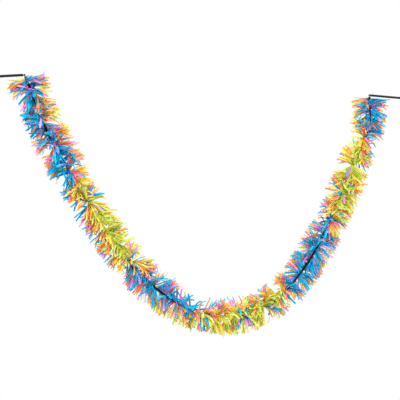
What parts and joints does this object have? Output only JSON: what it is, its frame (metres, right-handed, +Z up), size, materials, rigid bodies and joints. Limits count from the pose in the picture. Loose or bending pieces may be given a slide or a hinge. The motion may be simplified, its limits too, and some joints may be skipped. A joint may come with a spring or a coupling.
{
  "type": "paper garland",
  "caption": "Swag of fringed tissue paper strips in blue, pink, orange, yellow and lime, bound to a twisted black ribbon that hangs from a loop at each end.",
  "frame": {"origin": "where the loop of the left hanging ribbon bears on its hook", "axes": "+X from the left end to the right end, +Z up, front towards -Y"},
  "size_m": [1.3436, 0.1126, 0.7544],
  "materials": {
    "blue_tissue": "matte dyed tissue paper",
    "pink_tissue": "matte dyed tissue paper",
    "orange_tissue": "matte dyed tissue paper",
    "yellow_tissue": "matte dyed tissue paper",
    "lime_tissue": "matte dyed tissue paper",
    "black_ribbon": "fine woven ribbon, slight sheen",
    "black_thread": "matte twisted thread"
  },
  "bodies": {
    "hanging_ends": {"left_hanging_ribbon": "black_ribbon", "right_hanging_ribbon": "black_ribbon", "left_end_tie": "black_thread", "right_end_tie": "black_thread"},
    "swag": {"core_ribbon": "black_ribbon", "blue_strip_1": "blue_tissue", "blue_strip_2": "blue_tissue", "blue_strip_3": "blue_tissue", "blue_strip_4": "blue_tissue", "pink_strip_1": "pink_tissue", "pink_strip_2": "pink_tissue", "pink_strip_3": "pink_tissue", "pink_strip_4": "pink_tissue", "orange_strip_1": "orange_tissue", "orange_strip_2": "orange_tissue", "orange_strip_3": "orange_tissue", "orange_strip_4": "orange_tissue", "yellow_strip_1": "yellow_tissue", "yellow_strip_2": "yellow_tissue", "yellow_strip_3": "yellow_tissue", "yellow_strip_4": "yellow_tissue", "lime_strip_1": "lime_tissue", "lime_strip_2": "lime_tissue", "lime_strip_3": "lime_tissue", "lime_strip_4": "lime_tissue", "tie_01": "black_thread", "tie_02": "black_thread", "tie_03": "black_thread", "tie_04": "black_thread", "tie_05": "black_thread", "tie_06": "black_thread", "tie_07": "black_thread", "tie_08": "black_thread", "tie_09": "black_thread", "tie_10": "black_thread", "tie_11": "black_thread", "tie_12": "black_thread", "tie_13": "black_thread", "tie_14": "black_thread", "tie_15": "black_thread", "tie_16": "black_thread", "tie_17": "black_thread", "tie_18": "black_thread", "tie_19": "black_thread", "tie_20": "black_thread"}
  },
  "joints": [
    {"name": "swag_swing", "type": "hinge", "parent": "hanging_ends", "child": "swag", "pos_m": [0.09896, 0, 0.01128], "axis": [1, 0, 0], "range_deg": [-40, 40]}
  ]
}
